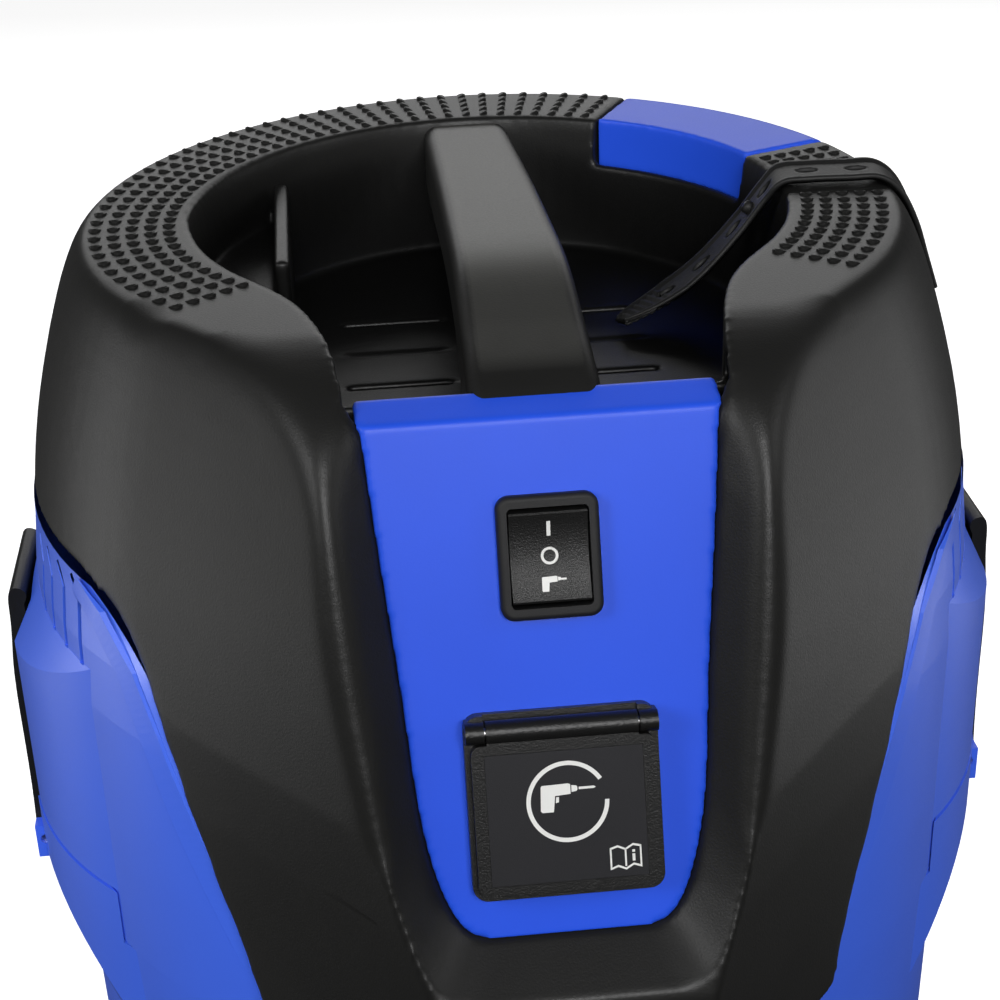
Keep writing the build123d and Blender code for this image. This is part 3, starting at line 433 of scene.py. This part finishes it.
def drill(cx, cy, k):
    """Generic cordless drill pictogram, k millimetres per unit."""
    body = [(-4.6, 2.2), (-4.3, 2.7), (3.2, 2.9), (3.9, 2.6), (3.9, -0.2), (-0.6, -0.5), (-1.2, -5.2),
            (-4.4, -5.2), (-4.9, -4.7)]
    chuck = [(4.2, 2.3), (5.6, 2.1), (5.9, 1.7), (5.9, 0.9), (5.6, 0.5), (4.2, 0.3)]
    bit = [(6.3, 1.65), (10.6, 1.65), (11.2, 1.3), (10.6, 0.95), (6.3, 0.95)]
    trigger = [(-0.3, -0.9), (0.5, -0.9), (0.4, -2.4), (-0.5, -2.6)]
    return [[(cx + x * k, cy + y * k) for x, y in p] for p in (body, chuck, bit, trigger)]


def rocker_face(x, up, h):
    """Point on the hollow face of the rocker."""
    dish = 1.9 + 34.6 - sqrt(34.6 ** 2 - min(abs(up), 12.4) ** 2)
    return on_panel(x, 40.0 - up, dish + h)


bar = [rect(-0.55, y, 0.55, y + 0.62) for y in [6.0 + 0.62 * i for i in range(7)]]
sign("sign_on", bar, rocker_face, PRINT, "rocker")
sign("sign_off", arc_band(0, 0.2, 2.15, 0.75, 0, 360, 32), rocker_face, PRINT, "rocker")
sign("sign_tool", drill(-0.2, -7.2, 0.52)[:2] + [[(2.6, -6.4), (4.4, -6.4), (4.4, -6.9), (2.6, -6.9)]],
     rocker_face, PRINT, "rocker")


def label_face(x, up, h):
    """Point on the label of the socket's flap."""
    return on_panel(x, 114.1 - up, 9.1 + h)


sign("sign_ring", arc_band(0.4, 4.2, 11.3, 1.25, 32, 359, 60), label_face, PRINT, "flap")
sign("sign_drill", drill(-2.6, 6.6, 1.0), label_face, PRINT, "flap")
book = [rect(11.6, -16.6, 12.1, -10.6), rect(20.3, -16.2, 20.8, -10.2), rect(15.9, -16.2, 16.4, -10.9),
        [(11.6, -10.6), (13.9, -9.9), (16.15, -10.9), (16.15, -11.5), (13.9, -10.5), (11.6, -11.2)],
        [(16.15, -10.9), (18.4, -9.6), (20.8, -10.2), (20.8, -10.8), (18.4, -10.2), (16.15, -11.5)],
        [(11.6, -16.6), (13.9, -15.7), (16.15, -16.7), (16.15, -17.3), (13.9, -16.3), (11.6, -17.1)],
        [(16.15, -16.7), (18.4, -15.4), (20.8, -16.2), (20.8, -16.8), (18.4, -16.0), (16.15, -17.3)],
        rect(18.1, -14.8, 18.9, -12.7), rect(18.1, -12.2, 18.9, -11.5)]
sign("sign_manual", book, label_face, PRINT, "flap")


# ------------------------------------------------------------------ hose strap
def build_strap():
    """Perforated rubber strap that crosses the ring and hangs into the tray."""
    way = [(157.6, 4, -39), (153.6, 4.2, -27), (149.2, 4.6, -14), (143.6, 5.4, -3.6), (136.5, 6.2, 1.6),
           (126, 6.8, 1.9), (112, 8, 1.8), (103.6, 10.0, 0.4), (98.2, 12.4, -6.4), (89.5, 12.8, -18.2),
           (76, 9.6, -31.0), (61.7, 5, -39.6), (45.5, -1.7, -45.6)]
    pts, line = [Vector(p) for p in way], []
    for i in range(len(pts) - 1):
        p0, p1, p2, p3 = pts[max(i - 1, 0)], pts[i], pts[i + 1], pts[min(i + 2, len(pts) - 1)]
        for j in range(20):
            t = j / 20
            line.append(0.5 * ((2 * p1) + (p2 - p0) * t + (2 * p0 - 5 * p1 + 4 * p2 - p3) * t * t
                               + (3 * p1 - p0 - 3 * p2 + p3) * t ** 3))
    line.append(pts[-1])
    reach = [0.0]
    for a, b in zip(line, line[1:]):
        reach.append(reach[-1] + (b - a).length)
    total = reach[-1]

    def frame_at(u):
        i = max(k for k in range(len(reach)) if reach[k] <= u + 1e-6)
        i = min(i, len(line) - 2)
        f = (u - reach[i]) / (reach[i + 1] - reach[i])
        ahead, behind = line[min(i + 3, len(line) - 1)], line[max(i - 2, 0)]
        t = (ahead - behind).normalized()
        wide = Vector((0.12, 1, 0)).normalized()
        wide = (wide - t * wide.dot(t)).normalized()
        n = wide.cross(t)
        return line[i].lerp(line[i + 1], f), t, wide, (-n if n.x * 0.4 + n.z < 0 else n)

    step, cols = 0.8, 25
    rows = int(total / step)
    gap = 2 * HALF_WIDE / (cols - 1)
    grid, solid = [], {}
    for i in range(rows + 1):
        u = total * i / rows
        for j in range(cols):
            grid.append([u, -HALF_WIDE + gap * j])
    for i in range(rows):
        for j in range(cols - 1):
            u, v = total * (i + 0.5) / rows, -HALF_WIDE + gap * (j + 0.5)
            solid[i, j] = not any(((u - h) / HOLE_LONG) ** 2 + (v / HOLE_WIDE) ** 2 < 1 for h in HOLES)
    touch = {}
    for (i, j), keep in solid.items():
        for a in ((i, j), (i, j + 1), (i + 1, j), (i + 1, j + 1)):
            touch.setdefault(a, set()).add(keep)
    for (i, j), kinds in touch.items():
        if len(kinds) == 2:                               # corner on the rim of a hole
            q = grid[i * cols + j]
            h = min(HOLES, key=lambda c: abs(c - q[0]))
            r = sqrt(((q[0] - h) / HOLE_LONG) ** 2 + (q[1] / HOLE_WIDE) ** 2)
            q[0], q[1] = h + (q[0] - h) / r, q[1] / r
    verts = []
    for u, v in grid:
        p, t, wide, n = frame_at(min(max(u, 0), total))
        left = total - u
        w = 1.0 if left > 24 else 0.30 + 0.70 * max(left / 24, 0) ** 0.7
        rim = 0.8 if 7.2 < abs(v) < 9.9 else 0.0
        rib = 0.55 if 2 < left < 19 and int(left / 1.6) % 2 and abs(v) < 7 else 0.0
        verts.append(TOPZ + p + wide * v * w + n * (0.9 + rim + rib))
    faces = [(i * cols + j, i * cols + j + 1, (i + 1) * cols + j + 1, (i + 1) * cols + j)
             for (i, j), keep in solid.items() if keep]
    strap = new_object("hose_strap_rubber", verts, faces, STRAP, "head")
    bm = bmesh.new()
    bm.from_mesh(strap.data)
    bmesh.ops.delete(bm, geom=[v for v in bm.verts if not v.link_faces], context="VERTS")
    bmesh.ops.recalc_face_normals(bm, faces=bm.faces)
    mid = min(bm.faces, key=lambda f: abs(f.calc_center_median().x - 0.12))
    if mid.normal.z < 0:
        bmesh.ops.reverse_faces(bm, faces=bm.faces)
    bm.to_mesh(strap.data)
    bm.free()
    thick = strap.modifiers.new("thick", "SOLIDIFY")
    thick.thickness, thick.offset = 2.2 * MM, -1
    applied(strap)
    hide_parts("hose_strap")
    p, t, wide, n = frame_at(STUD)                        # round stud that the strap buttons on
    stud_v, stud_f, k = [], [], 16
    for r, h in ((2.4, -1.5), (2.4, 1.4), (2.1, 2.1), (1.2, 2.6)):
        stud_v.extend(TOPZ + p + n * (h + 0.9) + (wide * cos(2 * pi * i / k) + t * sin(2 * pi * i / k)) * r
                      for i in range(k))
    for level in range(3):
        for i in range(k):
            a, b = level * k + i, level * k + (i + 1) % k
            stud_f.append((a, b, b + k, a + k))
    stud_f.append(tuple(3 * k + i for i in range(k)))
    stud_f.append(tuple(reversed(range(k))))
    outward(new_object("strap_stud", stud_v, stud_f, STRAP, "head"))


build_strap()


# ------------------------------------------------------------------ studio
def studio():
    """Pale floor that sweeps up far away, a soft sky and six soft boxes."""
    verts, faces, spokes = [], [], 48
    sweep = [(0.9, 0), (7, 0), (8.2, 0.25), (9.0, 0.9), (9.4, 2.2), (9.5, 7)]
    verts.append((0, 0, 0))
    for r, z in sweep:
        verts.extend((r * cos(2 * pi * i / spokes), r * sin(2 * pi * i / spokes), z) for i in range(spokes))
    for i in range(spokes):
        faces.append((0, 1 + i, 1 + (i + 1) % spokes))
        for k in range(len(sweep) - 1):
            a, b = 1 + k * spokes + i, 1 + k * spokes + (i + 1) % spokes
            faces.append((a, a + spokes, b + spokes, b))
    floor_me = bpy.data.meshes.new("floor")
    floor_me.from_pydata(verts, [], faces)
    for p in floor_me.polygons:
        p.use_smooth = True
    floor = bpy.data.objects.new("floor", floor_me)
    bpy.context.scene.collection.objects.link(floor)
    mat = bpy.data.materials.new("floor")
    t, b = nodes_of(mat)
    b.inputs["Base Color"].default_value = (0.90, 0.90, 0.90, 1)
    b.inputs["Roughness"].default_value = 0.95
    b.inputs["Emission Color"].default_value = (1, 1, 1, 1)
    b.inputs["Emission Strength"].default_value = 0.80
    floor_me.materials.append(mat)
    floor.visible_diffuse = floor.visible_glossy = floor.visible_shadow = False
    world = bpy.data.worlds.new("studio")
    world.use_nodes = True
    wt = world.node_tree
    bg = wt.nodes["Background"]
    where, axes, ramp, depth, both = (wt.nodes.new("ShaderNode" + k) for k in (
        "TexCoord", "SeparateXYZ", "ValToRGB", "MapRange", "Math"))
    stops = ramp.color_ramp.elements
    for at, level in SKY:
        stops.new(at).color = (level, level, level, 1)
    stops[0].color, stops[len(stops) - 1].color = (SKY[0][1],) * 3 + (1,), (SKY[-1][1],) * 3 + (1,)
    depth.inputs["From Min"].default_value, depth.inputs["From Max"].default_value = -0.25, 0.65
    depth.inputs["To Min"].default_value, depth.inputs["To Max"].default_value = SKY_FRONT, SKY_BACK
    both.operation = "MULTIPLY"
    lift = wt.nodes.new("ShaderNodeMapRange")
    lift.inputs["From Min"].default_value, lift.inputs["From Max"].default_value = -1.0, 1.0
    wt.links.new(where.outputs["Generated"], axes.inputs[0])
    wt.links.new(axes.outputs["Z"], lift.inputs["Value"])
    wt.links.new(lift.outputs["Result"], ramp.inputs["Fac"])
    wt.links.new(axes.outputs["Y"], depth.inputs["Value"])
    wt.links.new(ramp.outputs["Color"], both.inputs[0])
    wt.links.new(depth.outputs["Result"], both.inputs[1])
    wt.links.new(both.outputs[0], bg.inputs["Strength"])
    bpy.context.scene.world = world
    bpy.context.scene.view_settings.view_transform = "Standard"

    def area(name, at, look, size, watts, size_y=None):
        l = bpy.data.lights.new(name, "AREA")
        l.energy, l.size = watts, size
        if size_y:
            l.shape, l.size_y = "RECTANGLE", size_y
        o = bpy.data.objects.new(name, l)
        o.location = at
        o.rotation_euler = (Vector(look) - Vector(at)).to_track_quat("-Z", "Y").to_euler()
        o.visible_camera = False
        bpy.context.scene.collection.objects.link(o)

    area("key_left", (-2.0, -1.3, 1.9), (0, 0, 0.45), 0.9, 26, 1.2)
    area("key_front", (0.2, -2.7, 2.1), (0, 0, 0.4), 1.3, 66, 1.0)
    area("fill_right", (2.1, -0.9, 1.6), (0, 0, 0.45), 0.8, 8, 1.1)
    area("top_back", TOPZ * MM + STRIP_WAY.normalized() * STRIP_REACH, TOPZ * MM, 2.6, 14, 0.8)
    area("side_left", (-2.1, 0.5, 0.12), (0, 0, 0.4), 0.9, 10, 1.5)
    area("side_right", (2.1, 0.5, 0.12), (0, 0, 0.4), 0.8, 7, 1.5)


studio()
